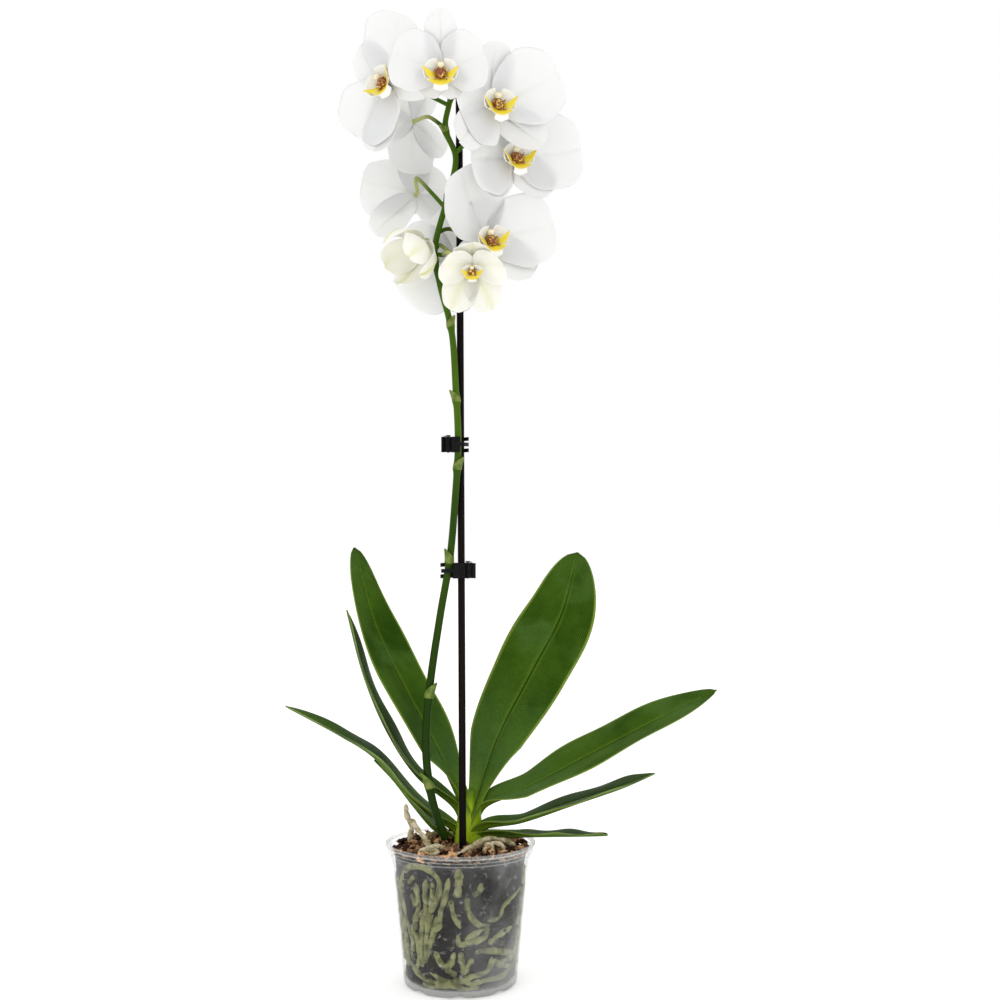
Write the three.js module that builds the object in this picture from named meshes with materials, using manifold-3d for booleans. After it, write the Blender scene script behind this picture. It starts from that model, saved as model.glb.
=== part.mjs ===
// Potted moth orchid: a flowering plant with its stake and clips in a clear nursery pot.
// Millimetres, +Z up. The origin is the centre of the pot's base, and the flowers face -Y.
import * as THREE from "three";
import { mergeVertices } from "three/addons/utils/BufferGeometryUtils.js";
import Module from "manifold-3d";

const wasm = await Module();
wasm.setup();

// ---------- driving dimensions ----------

const GAP = 0.3; // clearance between pieces that touch
const FLAT_ENOUGH = 0.03; // facets of a joined piece that lie this close to one plane become one

const POT = {
  rim: 60, // outer radius of the lip
  height: 113,
  wall: 1.2,
  top: 55.4, // outer radius of the wall under the collar
  base: 45.5, // outer radius at the foot
  collar: 12, // height of the wider collar under the lip
  floor: 5, // height of the floor over the surface that the pot stands on
  slots: 8, // drainage slots round the foot
  sides: 32,
};

const WALL_ROOT_RADIUS = 2.2;
const BARK = { edge: 101, top: 107, bottom: 7, inset: 2 * WALL_ROOT_RADIUS + 3 * GAP };

const CROWN = { x: 7, y: 5, bottom: 86, top: 156, halfWidth: 11, halfDepth: 6.5 };

const STAKE = { radius: 2.8, foot: [2.6, -17, 22], tip: [-1.2, 2, 711] };

// The stem from the crown to its tip, and its joints as shares of its length.
const STEM = [
  [-12, -9, 116], [-22, -14, 148], [-27, -16, 190], [-24, -15, 236], [-16, -13, 292],
  [-8, -11.5, 340], [-4, -13, 385], [-1.6, -13, 430], [-3.4, -12, 472], [-7, -9.5, 520],
  [-16, -7, 556], [-20.5, -5, 583], [-12, -5, 620], [-3.8, -5, 658], [-12, -5, 681],
  [-8.4, -5, 703],
];
const STEM_JOINTS = [0, 0.075, 0.195, 0.375, 0.5, 0.59, 0.69, 0.78, 0.87, 0.96, 1];
const STEM_RADIUS = { foot: 3.3, tip: 2.2, bract: 0.7 };
const PEDICEL_RADIUS = 1.4;
const PEDICEL_RUN = 5; // the straight end of a flower's stalk, square to its back

// Each leaf: its width, where along it that is (a share), the way that its upper face looks, and its
// midrib from the crown to the tip.
const LEAVES = [
  { name: "leaf_upper_right", width: 65, widest: 0.58, face: [-0.3, -0.92, 0.3],
    rib: [[15, 10, 149], [29, 18, 190], [59, 34, 246], [83, 48, 290], [97, 58, 341]] },
  { name: "leaf_middle_right", width: 57, widest: 0.54, face: [-0.42, -0.3, 0.88],
    rib: [[18, 4, 140], [54, -4, 156], [100, -10, 181], [150, -14, 208], [203, -16, 235]] },
  { name: "leaf_lower_right", width: 42, widest: 0.55, face: [-0.3, 0.02, 0.95],
    rib: [[16, 0, 123], [48, -8, 131], [92, -16, 147], [128, -22, 160], [153, -26, 171]] },
  { name: "leaf_bottom_right", width: 28, widest: 0.55, face: [-0.02, 0.1, 1],
    rib: [[15, 2, 116], [46, -1, 118], [72, -4, 118.5], [96, -8, 119], [117, -12, 119.5]] },
  { name: "leaf_upper_left", width: 58, widest: 0.46, face: [0.8, -0.5, 0.3],
    rib: [[-3, 4.5, 152], [-19, 10, 184], [-46, 18, 232], [-72, 24, 286], [-88, 30, 346]] },
  { name: "leaf_middle_left", width: 38, widest: 0.52, face: [0.85, -0.05, 0.5],
    rib: [[-3, 9, 138], [-34, 9, 164], [-57, 7, 198], [-76, 4, 242], [-91, 0, 297]] },
  { name: "leaf_lower_left", width: 42, widest: 0.52, face: [0.4, -0.02, 0.9],
    rib: [[-4, 8, 120], [-22, 8, 132], [-44, 5, 153], [-70, -2, 182], [-96, -8, 199], [-138, -14, 222]] },
  { name: "leaf_bottom_left", width: 28, widest: 0.52, face: [0.6, 0.1, 0.8],
    rib: [[-5, 12, 110], [-22, 16, 121], [-38, 19, 138], [-55, 22, 158], [-71, 24, 173]] },
];
const LEAF = { thickness: 1.8, fold: 0.2, neck: 0.34, rows: 7, cols: 4 };

// Each flower: where its column rises, its turn in degrees, its size, and how far its tepals curl
// forward (1/mm). Petals: the angles of the right and left one. Lengths: the upper sepal, the lower
// sepals, the right and the left petal, as shares of the size. Stalk: its points from the stem.
const FLOWERS = [
  { name: "flower_top", at: [-13, -64, 710], yaw: 0, nod: 12, roll: 0, reach: 44, cup: 0.012,
    petals: [22, 160], lengths: [1.04, 0.5, 0.84, 0.93], lip: 0.98,
    stalk: [[-8.4, -5, 701], [-9, -20, 713], [-12, -40, 716]] },
  { name: "flower_upper_right", at: [27, -41, 691], yaw: 24, nod: 0, roll: 4, reach: 57, cup: 0.01,
    petals: [24, 200], lengths: [0.82, 0.86, 1, 0.56],
    stalk: [[-8.4, -5, 701], [-5, -10, 705], [8, -18, 702]] },
  { name: "flower_middle_right", at: [41, -18, 655], yaw: 28, nod: 0, roll: 4, reach: 58, cup: 0.01,
    petals: [6, 184], lengths: [0.8, 0.72, 1, 0.74],
    stalk: [[-4.2, -5, 661], [6, -9, 668], [26, -6, 664]] },
  { name: "flower_lower_right", at: [21, -8, 592], yaw: 28, nod: 0, roll: 10, reach: 57, cup: 0.01,
    petals: [6, 112], lengths: [0.6, 0.82, 1, 1.1],
    stalk: [[-18, -5, 598], [-10, 1, 602], [6, 4, 598]] },
  { name: "flower_upper_left", at: [-57, -24, 712], yaw: -34, nod: 4, roll: 38, reach: 57, cup: 0.006,
    petals: [28, 197], lengths: [0.68, 0.95, 0.95, 0.85],
    stalk: [[-8.4, -5, 699], [-22, 0, 707], [-38, -6, 713]] },
  { name: "flower_behind_left", at: [-39, 22, 693], yaw: -145, nod: 0, roll: -104, reach: 42, cup: 0.004,
    petals: [12, 168], lengths: [0.9, 0.9, 1, 0.9],
    stalk: [[-11.8, -5, 680], [-18, -4, 686], [-26, 2, 692]] },
  { name: "flower_middle_left", at: [-38, 32, 635], yaw: -162, nod: 8, roll: 0, reach: 47, cup: 0.004,
    petals: [12, 168], lengths: [0.9, 1.02, 0.96, 0.66],
    stalk: [[-12.4, -5, 618], [-24, 2, 632], [-36, 12, 645]] },
  { name: "flower_lower_left", at: [-7, 6, 580], yaw: -178, nod: 8, roll: -57, reach: 50, cup: 0.004,
    petals: [12, 168], lengths: [0.9, 0.9, 1, 0.9],
    stalk: [[-20.5, -5, 583], [-17, -5.5, 588], [-12, -7, 585]] },
  { name: "flower_half_open", at: [10, -45, 564], yaw: 2, nod: 34, roll: 0, reach: 34, cup: 0.034,
    petals: [20, 160], lengths: [0.9, 1.1, 0.95, 0.95],
    stalk: [[-20.4, -5, 581], [-13.5, -12, 579], [-12.5, -24, 578.5], [-8, -35, 577]] },
  { name: "bud", at: [-31, -18, 586], yaw: -42, nod: 38, roll: 10, reach: 39, cup: 0.05,
    petals: [12, 168], lengths: [0.92, 0.92, 0.95, 0.95], stalk: [[-20.5, -5, 583]], closed: true },
];
const TEPAL_THICKNESS = 0.7;
const SEPALS = { angles: [90, 222, 318], width: 0.6, layer: -1.1, rows: 4, cols: 2 };
const PETALS = { width: 1.14, layer: 0.3, rows: 4, cols: 3 };
const CUP_SPREAD = 30; // mm of curl that part the layers by one more layer
const FULL_REACH = 56; // the size of flower that the lip and column are drawn for

// Each clip: its pin, how it is turned, how far its claws reach and open, and which jaw moves.
const CLIPS = [
  { name: "clip_lower", at: [6, -7.2, 329], turn: 194, reach: 21.4, halfDepth: 5.6, moving: 1 },
  { name: "clip_upper", at: [-9.6, -9.4, 429], turn: 0, reach: 15.8, halfDepth: 7.9, moving: -1 },
];
const CLIP = {
  height: 12, claw: 3, cover: 0.62, sheet: 1.4, tab: 4.8, arm: 2.9, pin: 0.8, bore: 1.1, knuckle: 1.9,
};

// Roots that climb out of the bark, from their tips down.
const SURFACE_ROOTS = [
  { name: "root_aerial_left", points: [[-43.5, -6, 141], [-42.5, -6, 132], [-39, -5, 123], [-41, -3, 111]] },
  { name: "root_front_left", points: [[-39, -14, 131], [-34, -17, 124], [-27, -21, 116], [-24, -24, 110]] },
  { name: "root_front", points: [[-32, -36, 108], [-26, -33, 111.5], [-18, -29, 112.5], [-12, -26, 110]] },
  { name: "root_right",
    points: [[2, -31, 109], [12, -26, 113], [22, -18, 116], [34, -10, 113], [44, -6, 108]] },
];
const SURFACE_ROOT_RADIUS = 2.1;
const WALL_ROOTS = { count: 5, top: 97, bottom: 12, swing: 0.28, steps: 12 };

// ---------- solids ----------

// A closed geometry as a solid for joining and cutting.
function solid(geometry) {
  const bare = geometry.clone();
  bare.deleteAttribute("normal");
  bare.deleteAttribute("uv");
  const merged = mergeVertices(bare, 1e-3);
  const vertProperties = new Float32Array(merged.attributes.position.array);
  const triVerts = new Uint32Array(merged.index.array);
  return new wasm.Manifold(new wasm.Mesh({ numProp: 3, vertProperties, triVerts }));
}

function geometryOf(body) {
  const mesh = body.getMesh();
  const geometry = new THREE.BufferGeometry();
  geometry.setAttribute("position", new THREE.BufferAttribute(mesh.vertProperties, 3));
  geometry.setIndex(new THREE.BufferAttribute(mesh.triVerts, 1));
  geometry.computeVertexNormals();
  return geometry;
}

const joined = (bodies) => bodies.reduce((whole, body) => whole.add(body));

// The largest of a solid's bodies, with any hollow inside it filled.
function largest(body) {
  return body.decompose().reduce((best, next) => (next.volume() > best.volume() ? next : best));
}

const curve = (points) => new THREE.CatmullRomCurve3(points.map((p) => new THREE.Vector3(...p)));

// A profile of [radius, height] pairs turned about Z.
function turned(points, sides) {
  const profile = points.map(([r, z]) => new THREE.Vector2(r, z));
  return new THREE.LatheGeometry(profile, sides).rotateX(Math.PI / 2);
}

function tube(path, radius, steps, sides = 8) {
  const section = new THREE.Shape().absarc(0, 0, radius, 0, 2 * Math.PI);
  return new THREE.ExtrudeGeometry(section, { steps, extrudePath: path, curveSegments: sides / 2 });
}

// A thin closed sheet over a grid: surface(u, v, side) is a point of its front (side 1) or back (-1).
function sheet(surface, rows, cols) {
  const position = [];
  const index = [];
  for (const side of [1, -1]) {
    for (let i = 0; i <= rows; i++) {
      for (let j = 0; j <= cols; j++) {
        position.push(...surface(i / rows, (2 * j) / cols - 1, side).toArray());
      }
    }
  }
  const back = (rows + 1) * (cols + 1);
  const at = (i, j) => i * (cols + 1) + j;
  const quad = (a, b, c, d) => index.push(a, b, c, a, c, d);
  for (let i = 0; i < rows; i++) {
    for (let j = 0; j < cols; j++) {
      const [a, b, c, d] = [at(i, j), at(i + 1, j), at(i + 1, j + 1), at(i, j + 1)];
      quad(a, b, c, d);
      quad(back + d, back + c, back + b, back + a);
    }
  }
  const edge = (a, b) => quad(a, back + a, back + b, b);
  for (let i = 0; i < rows; i++) {
    edge(at(i, 0), at(i + 1, 0));
    edge(at(i + 1, cols), at(i, cols));
  }
  for (let j = 0; j < cols; j++) {
    edge(at(0, j + 1), at(0, j));
    edge(at(rows, j), at(rows, j + 1));
  }
  const geometry = new THREE.BufferGeometry();
  geometry.setAttribute("position", new THREE.Float32BufferAttribute(position, 3));
  geometry.setIndex(index);
  return geometry;
}

// A folded blade along a rib: half(u) is its half width, and its front looks towards face.
function blade({ rib, face, half, fold, thickness, rows, cols }) {
  const path = curve(rib);
  const looks = new THREE.Vector3(...face);
  return sheet(
    (u, v, side) => {
      const along = path.getTangent(u);
      const up = looks.clone().addScaledVector(along, -looks.dot(along)).normalize();
      const across = up.clone().cross(along);
      const reach = v * half(u);
      return path
        .getPoint(u)
        .addScaledVector(across, reach)
        .addScaledVector(up, fold * Math.abs(reach) + (side * thickness) / 2);
    },
    rows,
    cols,
  );
}

// ---------- pot, bark and roots ----------

function wallRadius(z) {
  const share = (z - POT.floor) / (POT.height - POT.collar - POT.floor);
  return THREE.MathUtils.lerp(POT.base, POT.top, share);
}

function pot() {
  const { rim, height, wall, top, base, collar, floor, sides } = POT;
  const shoulder = height - collar;
  const collarRadius = top + 1.6;
  const profile = [
    [0, 0], [12, 0], [14, floor - wall], [base - 8, floor - wall], [base - 6, 0], [base - 2, 0],
    [base, 4], [top, shoulder], [collarRadius, shoulder + 2], [collarRadius + 0.6, height - 4],
    [rim - 1, height - 3], [rim, height - 1.6], [rim - 1, height], [rim - 2.6, height - 0.4],
    [collarRadius - 0.6, height - 4], [collarRadius - wall, shoulder + 2], [top - wall, shoulder],
    [base - wall, floor + 1], [base - wall - 1, floor], [0, floor],
  ];
  const slots = [];
  for (let i = 0; i < POT.slots; i++) {
    const slot = new THREE.CylinderGeometry(3, 3, 12, 8).rotateX(Math.PI / 2);
    slot.translate(base - 10, 0, floor);
    slot.rotateZ(((i + 0.5) * 2 * Math.PI) / POT.slots);
    slots.push(solid(slot));
  }
  return slots.reduce((cut, slot) => cut.subtract(slot), solid(turned(profile, sides)));
}

function barkBed() {
  const radius = (z) => wallRadius(z) - POT.wall - BARK.inset;
  const profile = [
    [0, BARK.bottom], [radius(12) - 4, BARK.bottom], [radius(12), BARK.bottom + 5],
    [radius(BARK.edge), BARK.edge - 4], [radius(BARK.edge) - 4, BARK.edge], [16, BARK.top], [0, BARK.top],
  ];
  return solid(turned(profile, 24)).subtract(stake(GAP)).subtract(crown(GAP));
}

function surfaceRoot(points) {
  return solid(tube(curve(points), SURFACE_ROOT_RADIUS, 8, 6));
}

// A root that wanders down between the bark and the wall.
function wallRoot(number) {
  const { count, top, bottom, swing, steps } = WALL_ROOTS;
  const points = [];
  for (let k = 0; k <= steps; k++) {
    const z = THREE.MathUtils.lerp(top, bottom, k / steps);
    const reach = wallRadius(z) - POT.wall - WALL_ROOT_RADIUS - 1.5 * GAP;
    const angle = (2 * Math.PI * number) / count - 1.9 + swing * Math.sin(1.3 * number + 0.5 * k);
    points.push([reach * Math.cos(angle), reach * Math.sin(angle), z]);
  }
  return solid(tube(curve(points), WALL_ROOT_RADIUS, steps, 6));
}

// ---------- crown, leaves, stem and stake ----------

function crown(grown = 0) {
  const { x, y, bottom, top, halfWidth, halfDepth } = CROWN;
  const profile = [
    [0, bottom - grown], [0.55, bottom - grown], [1, bottom + 24], [1.08, bottom + 42],
    [0.85, top - 10], [0.4, top + grown], [0, top + grown],
  ];
  const body = turned(profile, 12).scale(halfWidth + grown, halfDepth + grown, 1);
  return solid(body.translate(x, y, 0));
}

// Half width along a leaf, as a share of its greatest half width.
function leafOutline(u, widest) {
  const { neck } = LEAF;
  if (u < widest) return neck + (1 - neck) * Math.sin((Math.PI / 2) * (u / widest)) ** 1.3;
  return Math.max(0.04, Math.sqrt(1 - ((u - widest) / (1 - widest)) ** 2.2));
}

function leaf({ rib, width, widest, face }) {
  const half = (u) => (width / 2) * leafOutline(u, widest);
  return largest(solid(blade({ ...LEAF, rib, face, half })).subtract(crown(GAP)));
}

function stake(grown = 0) {
  return solid(tube(curve([STAKE.foot, STAKE.tip]), STAKE.radius + grown, 1, 12));
}

function stem() {
  const path = curve(STEM);
  const bodies = [];
  STEM_JOINTS.slice(1).forEach((to, i) => {
    const from = STEM_JOINTS[i];
    const radius = THREE.MathUtils.lerp(STEM_RADIUS.foot, STEM_RADIUS.tip, (from + to) / 2);
    const steps = Math.max(2, Math.round((to - from) * 26));
    const points = [];
    for (let k = 0; k <= steps; k++) {
      points.push(path.getPointAt(THREE.MathUtils.lerp(from, to, k / steps)).toArray());
    }
    bodies.push(solid(tube(curve(points), radius, steps, 6)));
    const joint = new THREE.SphereGeometry(radius + STEM_RADIUS.bract, 6, 4);
    bodies.push(solid(joint.translate(...path.getPointAt(to))));
  });
  for (const flower of FLOWERS) {
    const back = layerDepth(SEPALS.layer, flower.cup) - TEPAL_THICKNESS / 2 - 2 * GAP;
    const ends = [back - PEDICEL_RUN, back].map((depth) => onFlower(flower, 0, 0, depth).toArray());
    bodies.push(solid(tube(curve([...flower.stalk, ...ends]), PEDICEL_RADIUS, 7, 6)));
  }
  return joined(bodies).subtract(crown(GAP)).subtract(stake(GAP));
}

// ---------- flowers ----------

// A flower's own frame: x to the right and y up as it is seen from the front, z the way it faces.
function flowerTurn({ yaw, nod, roll }) {
  const about = (axis, degrees) =>
    new THREE.Quaternion().setFromAxisAngle(axis, THREE.MathUtils.degToRad(degrees));
  const z = new THREE.Vector3(0, 0, 1);
  return about(z, yaw)
    .multiply(about(new THREE.Vector3(1, 0, 0), 90 + nod))
    .multiply(about(z, roll));
}

function onFlower(flower, x, y, z) {
  return new THREE.Vector3(x, y, z)
    .applyQuaternion(flowerTurn(flower))
    .add(new THREE.Vector3(...flower.at));
}

// The flat point (x, y) wrapped onto a ball of curvature cup, layer in front of its skin.
function cupped(x, y, layer, cup) {
  const distance = Math.hypot(x, y);
  const inside = 1 / cup - layer;
  const spread = distance > 0 ? (inside * Math.sin(cup * distance)) / distance : 0;
  return new THREE.Vector3(x * spread, y * spread, 1 / cup - inside * Math.cos(cup * distance));
}

const layerDepth = (layer, cup) => layer * (1 + CUP_SPREAD * cup);

// A petal or sepal of a flower, pointing at an angle in degrees, with its length as a share of reach.
function tepal({ reach, cup }, angle, share, { width: breadth, layer, rows, cols }) {
  const [c, s] = [Math.cos(THREE.MathUtils.degToRad(angle)), Math.sin(THREE.MathUtils.degToRad(angle))];
  const [length, width] = [share * reach, breadth * reach];
  const geometry = sheet(
    (u, v, side) => {
      const along = (length * (1 - Math.cos(Math.PI * u))) / 2;
      const rounding = Math.max(0.05, Math.sin(Math.PI * u)) ** 0.75;
      const claw = 1 - 0.75 * (1 - u) ** 4;
      const across = v * Math.max(1.6, (width / 2) * rounding * claw);
      const depth = layerDepth(layer, cup) + (side * TEPAL_THICKNESS) / 2;
      return cupped(along * c - across * s, along * s + across * c, depth, cup);
    },
    rows,
    cols,
  );
  return solid(geometry);
}

function sepals(flower) {
  const [upper, lower] = flower.lengths;
  const shares = [upper, lower, lower];
  return joined(SEPALS.angles.map((angle, i) => tepal(flower, angle, shares[i], SEPALS)));
}

function petals(flower) {
  const shares = flower.lengths.slice(2);
  return joined(flower.petals.map((angle, i) => tepal(flower, angle, shares[i], PETALS)));
}

// The lip with its two wings, joined to the foot of the column that stands over it.
function lipAndColumn({ reach, lip: size = reach / FULL_REACH }) {
  const scaled = (points) => points.map((p) => p.map((value) => value * size));
  const lobe = (rib, face, width) =>
    solid(
      blade({
        rib: scaled(rib),
        face,
        half: (u) => Math.max(1, (width / 2) * Math.sin(Math.PI * (0.15 + 0.8 * u))) * size,
        fold: 0,
        thickness: 0.9,
        rows: 2,
        cols: 1,
      }),
    );
  const middle = lobe([[0, -4, 4], [0, -13, 9], [0, -21, 8]], [0, 0.5, 1], 13);
  const left = lobe([[-1, -4, 4], [-8, -7, 8], [-12, -3, 13]], [0.5, 0.8, 0.4], 12);
  const right = lobe([[1, -4, 4], [8, -7, 8], [12, -3, 13]], [-0.5, 0.8, 0.4], 12);
  const foot = new THREE.SphereGeometry(2 * size, 6, 4).translate(0, -2.6 * size, 4 * size);
  const style = tube(curve(scaled([[0, 0.4, 1.8], [0, 1.6, 5], [0, 0.6, 10]])), 1.8 * size, 2, 6);
  const cap = new THREE.SphereGeometry(2.4 * size, 6, 4).translate(0, 0.4 * size, 10.5 * size);
  return largest(joined([solid(foot), middle, left, right, solid(style), solid(cap)]));
}

// ---------- clips ----------

// A flat strip of constant thickness along a bent line.
function strip(line, thickness) {
  const left = [];
  const right = [];
  line.forEach((point, i) => {
    const before = line[Math.max(0, i - 1)];
    const after = line[Math.min(line.length - 1, i + 1)];
    const length = Math.hypot(after[0] - before[0], after[1] - before[1]);
    const nx = (-(after[1] - before[1]) / length) * (thickness / 2);
    const ny = ((after[0] - before[0]) / length) * (thickness / 2);
    left.push(new THREE.Vector2(point[0] + nx, point[1] + ny));
    right.unshift(new THREE.Vector2(point[0] - nx, point[1] - ny));
  });
  return new THREE.Shape([...right, ...left]);
}

function slab(shape, low, high) {
  const options = { depth: high - low, bevelEnabled: false, curveSegments: 5 };
  return solid(new THREE.ExtrudeGeometry(shape, options).translate(0, 0, low));
}

function ring(outer, inner) {
  const shape = new THREE.Shape().absarc(0, 0, outer, 0, 2 * Math.PI);
  shape.holes.push(new THREE.Path().absarc(0, 0, inner, 0, 2 * Math.PI));
  return shape;
}

// One jaw: its finger tab and cover, with a claw and a knuckle at each of the given levels.
function jaw({ reach, halfDepth }, side, levels) {
  const top = CLIP.height / 2;
  const arm = side * CLIP.arm;
  const cover = CLIP.cover * reach;
  const tab = strip(
    [[-CLIP.tab, side * 5.6], [-2, arm], [1.4, arm], [3.8, side * halfDepth], [cover, side * halfDepth]],
    CLIP.sheet,
  );
  const claw = strip(
    [[cover - 1, side * halfDepth], [reach - 3, side * halfDepth], [reach, side * 1.1]],
    CLIP.sheet,
  );
  const web = strip([[0, side * (CLIP.knuckle - 0.5)], [0, arm]], CLIP.sheet);
  const bodies = [slab(tab, -top, top)];
  for (const [low, high] of levels) {
    for (const shape of [claw, web, ring(CLIP.knuckle, CLIP.bore)]) bodies.push(slab(shape, low, high));
  }
  return joined(bodies);
}

function clipPieces(clip) {
  const top = CLIP.height / 2;
  const outer = [[-top, CLIP.claw - top], [top - CLIP.claw, top]];
  const inner = [[-CLIP.claw / 2, CLIP.claw / 2]];
  const pin = new THREE.CylinderGeometry(CLIP.pin, CLIP.pin, CLIP.height + 1, 8).rotateX(Math.PI / 2);
  const coil = slab(ring(CLIP.knuckle, CLIP.bore), top + GAP, top + GAP + 1.2);
  const leg = strip([[-CLIP.bore - 0.3, 0], [-3.4, -clip.moving * 1.9]], 0.6);
  return {
    fixed_jaw: jaw(clip, -clip.moving, outer),
    moving_jaw: jaw(clip, clip.moving, inner),
    pin: solid(pin),
    spring: joined([coil, slab(leg, top + GAP, top + GAP + 0.6)]),
  };
}

// ---------- the assembly ----------

const material = (color, roughness, metalness = 0) =>
  new THREE.MeshStandardMaterial({ color, roughness, metalness });

const LOOKS = {
  pot: material(0xdfe6e4, 0.15),
  bark: material(0x5a3422, 0.95),
  root: material(0x8d9468, 0.8),
  green: material(0x3f6f23, 0.5),
  leaf: material(0x1f4d1c, 0.4),
  stake: material(0x1c1414, 0.5),
  clip: material(0x141414, 0.35),
  petal: material(0xf6f5f2, 0.6),
  bud: material(0xeeedc4, 0.6),
  lip: material(0xe2c21c, 0.5),
};

const orchid = new THREE.Group();

function place(name, body, look, parent = orchid) {
  const mesh = new THREE.Mesh(geometryOf(body.simplify(FLAT_ENOUGH)), look.clone());
  mesh.name = name;
  parent.add(mesh);
}

place("pot", pot(), LOOKS.pot);
place("bark_bed", barkBed(), LOOKS.bark);
place("crown", crown(), LOOKS.green);
place("flower_spike", stem(), LOOKS.green);
place("stake", stake(), LOOKS.stake);
for (const each of LEAVES) place(each.name, leaf(each), LOOKS.leaf);
for (const { name, points } of SURFACE_ROOTS) place(name, surfaceRoot(points), LOOKS.root);
for (let i = 0; i < WALL_ROOTS.count; i++) place("root_wall_" + (i + 1), wallRoot(i), LOOKS.root);

for (const flower of FLOWERS) {
  const group = new THREE.Group();
  group.position.set(...flower.at);
  group.quaternion.copy(flowerTurn(flower));
  orchid.add(group);
  const look = flower.closed ? LOOKS.bud : LOOKS.petal;
  place(flower.name + "_sepals", sepals(flower), look, group);
  place(flower.name + "_petals", petals(flower), look, group);
  if (!flower.closed) place(flower.name + "_lip_and_column", lipAndColumn(flower), LOOKS.lip, group);
}

for (const clip of CLIPS) {
  const group = new THREE.Group();
  group.position.set(...clip.at);
  group.rotation.z = THREE.MathUtils.degToRad(clip.turn);
  orchid.add(group);
  for (const [piece, body] of Object.entries(clipPieces(clip))) {
    place(clip.name + "_" + piece, body, LOOKS.clip, group);
  }
}

export default orchid;
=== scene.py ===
"""Potted moth orchid: the looks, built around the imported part.

Shapes are worked out in millimetres, in the part's own frame, and become metres as each mesh is made.
"""

import math
import random

import bmesh
import bpy
import numpy as np
from mathutils import Euler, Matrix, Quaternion, Vector


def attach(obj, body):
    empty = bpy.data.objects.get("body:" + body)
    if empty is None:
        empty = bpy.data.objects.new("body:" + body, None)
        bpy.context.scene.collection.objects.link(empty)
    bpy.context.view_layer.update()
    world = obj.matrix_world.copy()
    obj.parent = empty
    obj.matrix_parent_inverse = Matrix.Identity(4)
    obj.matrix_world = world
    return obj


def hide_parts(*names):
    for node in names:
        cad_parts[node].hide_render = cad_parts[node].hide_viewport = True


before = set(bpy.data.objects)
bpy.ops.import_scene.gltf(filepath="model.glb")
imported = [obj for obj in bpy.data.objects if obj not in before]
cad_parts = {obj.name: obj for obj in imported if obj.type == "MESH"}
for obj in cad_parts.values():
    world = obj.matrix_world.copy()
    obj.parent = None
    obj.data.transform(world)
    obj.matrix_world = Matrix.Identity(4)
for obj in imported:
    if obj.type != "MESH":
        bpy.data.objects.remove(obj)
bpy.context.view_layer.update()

MM = 0.001
ROOT = "plant_and_pot"
Z_AXIS = Vector((0, 0, 1))

# ---------- sizes shared with the part ----------

POT = {"rim": 60, "height": 113, "wall": 1.2, "top": 55.4, "base": 45.5, "collar": 12, "floor": 5}
SHOULDER = POT["height"] - POT["collar"]
FEET = 8

BARK_TOP = {"height": 109.5, "flat": 14, "fall": 1.2, "run": 40}

CROWN = {"x": 7, "y": 5, "bottom": 86, "top": 156, "half_width": 11, "half_depth": 6.5}

STAKE = {"radius": 2.8, "foot": (2.6, -17, 22), "tip": (-1.2, 2, 711)}

STEM = [
    (-12, -9, 116), (-22, -14, 148), (-27, -16, 190), (-24, -15, 236), (-16, -13, 292),
    (-8, -11.5, 340), (-4, -13, 385), (-1.6, -13, 430), (-3.4, -12, 472), (-7, -9.5, 520),
    (-16, -7, 556), (-20.5, -5, 583), (-12, -5, 620), (-3.8, -5, 658), (-12, -5, 681),
    (-8.4, -5, 703),
]
STEM_JOINTS = [0.075, 0.195, 0.375, 0.5, 0.59, 0.69, 0.78, 0.87, 0.96]
STEM_RADIUS = (3.3, 2.2)
PEDICEL_RADIUS = 1.4

# name: (width, share of the length where it is widest, the way its upper side faces, points of its rib)
LEAVES = {
    "leaf_upper_right": (65, 0.58, (-0.3, -0.92, 0.3),
        [(15, 10, 149), (29, 18, 190), (59, 34, 246), (83, 48, 290), (97, 58, 341)]),
    "leaf_middle_right": (57, 0.54, (-0.42, -0.3, 0.88),
        [(18, 4, 140), (54, -4, 156), (100, -10, 181), (150, -14, 208), (203, -16, 235)]),
    "leaf_lower_right": (42, 0.55, (-0.3, 0.02, 0.95),
        [(16, 0, 123), (48, -8, 131), (92, -16, 147), (128, -22, 160), (153, -26, 171)]),
    "leaf_bottom_right": (28, 0.55, (-0.02, 0.1, 1),
        [(15, 2, 116), (46, -1, 118), (72, -4, 118.5), (96, -8, 119), (117, -12, 119.5)]),
    "leaf_upper_left": (58, 0.46, (0.8, -0.5, 0.3),
        [(-3, 4.5, 152), (-19, 10, 184), (-46, 18, 232), (-72, 24, 286), (-88, 30, 346)]),
    "leaf_middle_left": (38, 0.52, (0.85, -0.05, 0.5),
        [(-3, 9, 138), (-34, 9, 164), (-57, 7, 198), (-76, 4, 242), (-91, 0, 297)]),
    "leaf_lower_left": (42, 0.52, (0.4, -0.02, 0.9),
        [(-4, 8, 120), (-22, 8, 132), (-44, 5, 153), (-70, -2, 182), (-96, -8, 199), (-138, -14, 222)]),
    "leaf_bottom_left": (28, 0.52, (0.6, 0.1, 0.8),
        [(-5, 12, 110), (-22, 16, 121), (-38, 19, 138), (-55, 22, 158), (-71, 24, 173)]),
}
LEAF = {"thickness": 1.8, "fold": 0.2, "neck": 0.34, "groove": 1.3, "keel": 1.2, "wave": 0.9, "stalk": 15}

TEPAL_THICKNESS = 0.7
FULL_REACH = 56


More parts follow.
